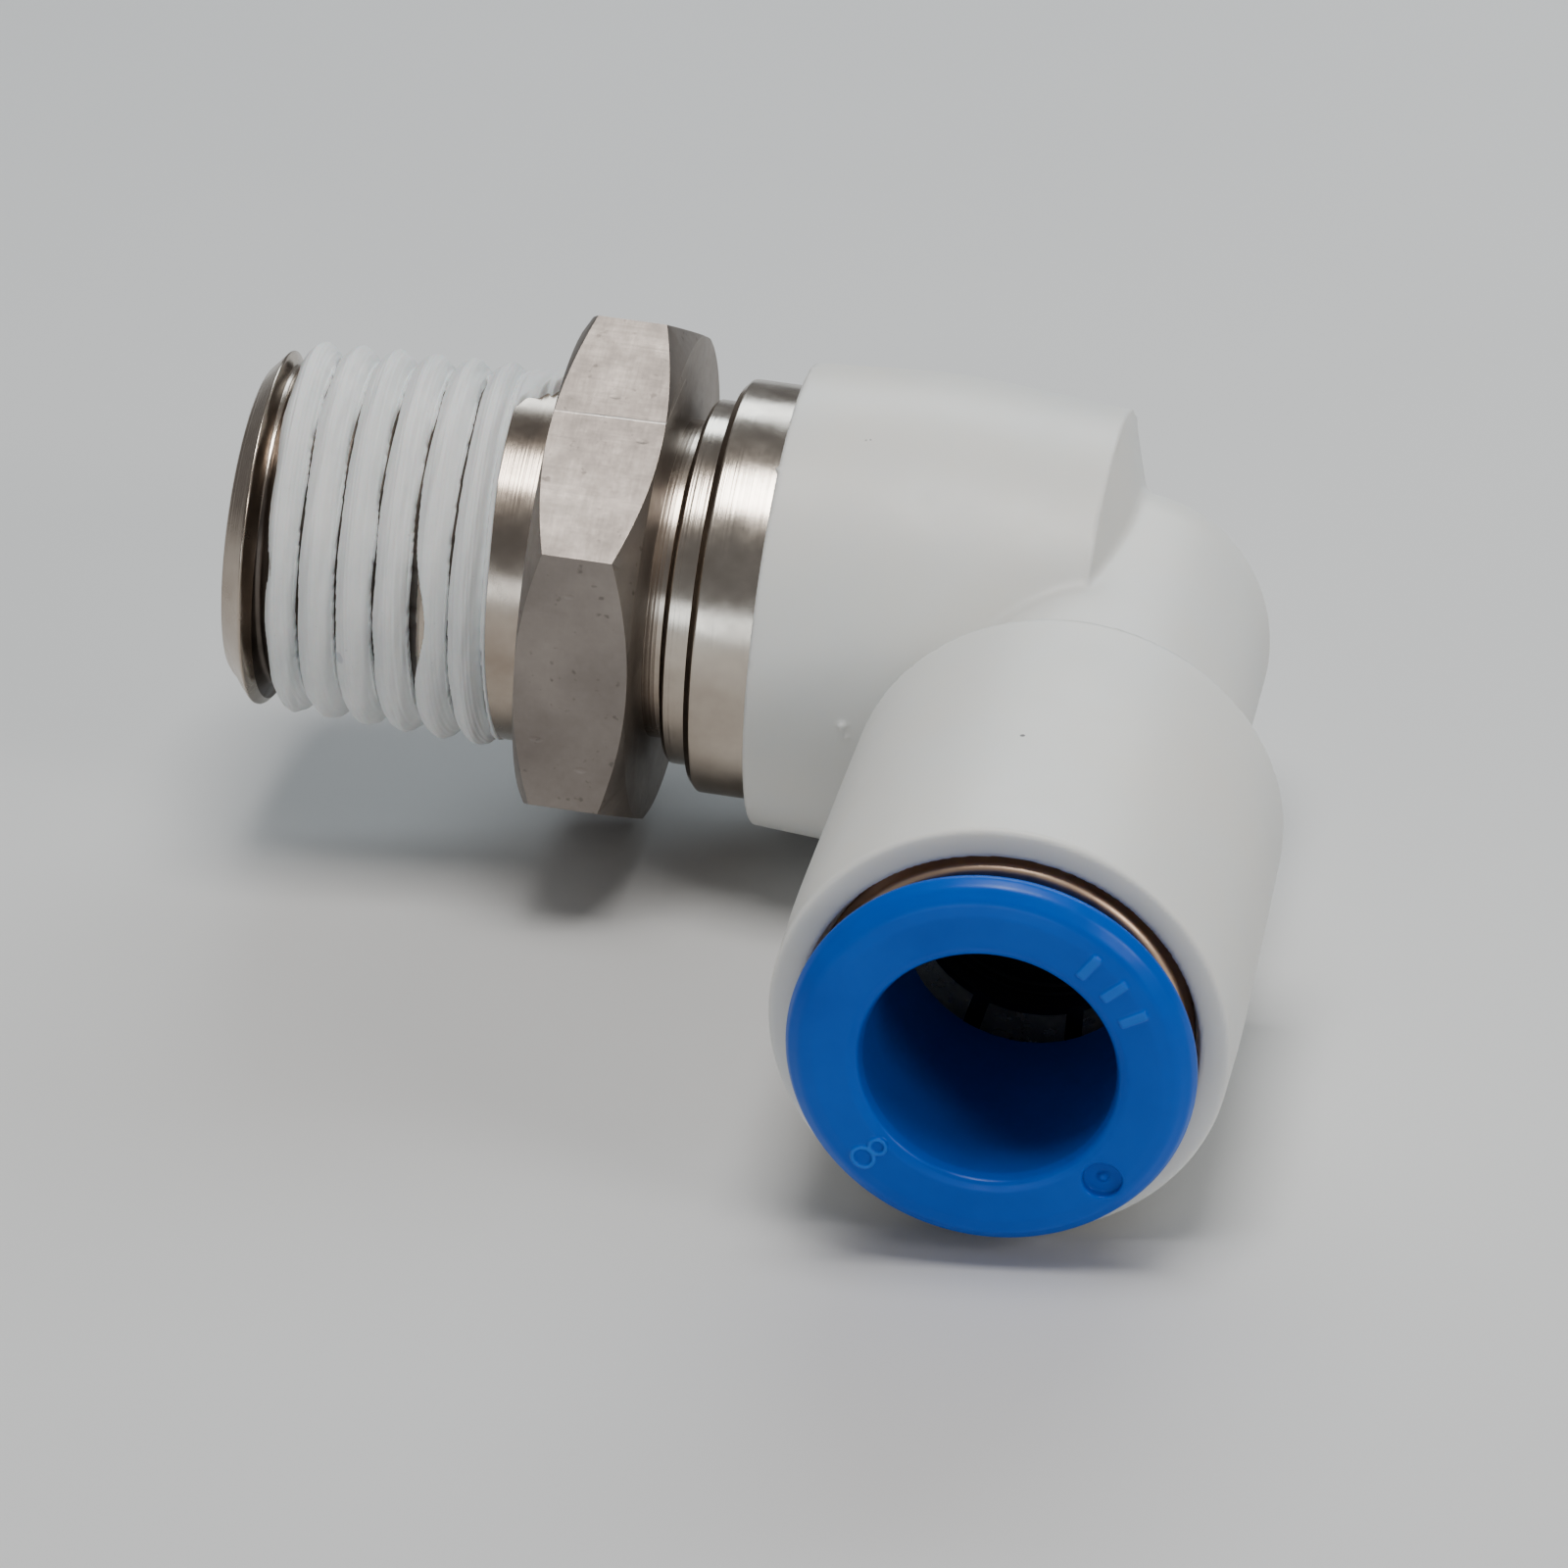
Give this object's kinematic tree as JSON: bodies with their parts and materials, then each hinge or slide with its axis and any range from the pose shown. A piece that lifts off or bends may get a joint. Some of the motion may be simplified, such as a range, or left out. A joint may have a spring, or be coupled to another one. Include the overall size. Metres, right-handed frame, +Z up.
{
  "type": "push to connect fitting",
  "caption": "Elbow push to connect fitting: taper-threaded metal stud, swivelling moulded elbow and a push-in port with a tube release ring.",
  "frame": {"origin": "on the thread axis, in the plane of the hexagon's thread-side face", "axes": "-X along the thread axis out of the threaded end, -Y out of the tube port, +Z up as the fitting lies, square to both port axes"},
  "size_m": [0.0382, 0.0377, 0.0196],
  "materials": {
    "stud": "nickel plated, turned and milled, lightly scratched",
    "thread_sealant": "thick matte sealant coat",
    "spigot_seal": "matte",
    "retaining_ring": "spring wire",
    "swivel_collar": "nickel plated, turned",
    "body": "satin moulded, slightly translucent off-white",
    "tube_seal": "matte",
    "back_ring": "moulded, dark",
    "guide": "drawn sleeve, bronze tone",
    "collet": "moulded, dark",
    "chuck": "stamped stainless steel",
    "release_button": "semi-gloss moulded blue"
  },
  "bodies": {
    "stud": {"stud": "stud", "thread_sealant": "thread_sealant", "spigot_seal": "spigot_seal", "retaining_ring": "retaining_ring"},
    "elbow": {"body": "body", "swivel_collar": "swivel_collar", "guide": "guide", "tube_seal": "tube_seal", "back_ring": "back_ring"},
    "collet": {"collet": "collet", "chuck": "chuck"},
    "button": {"release_button": "release_button"}
  },
  "joints": [
    {"name": "swivel", "type": "hinge", "parent": "stud", "child": "elbow", "pos_m": [0, 0, 0], "axis": [1, 0, 0], "continuous": true},
    {"name": "grip_slide", "type": "slide", "parent": "elbow", "child": "collet", "axis": [0, -1, 0], "range_m": [0, 0.0006]},
    {"name": "release_push", "type": "slide", "parent": "collet", "child": "button", "axis": [0, 1, 0], "range_m": [0, 0.0011], "stiffness_N_per_m": 2000}
  ]
}
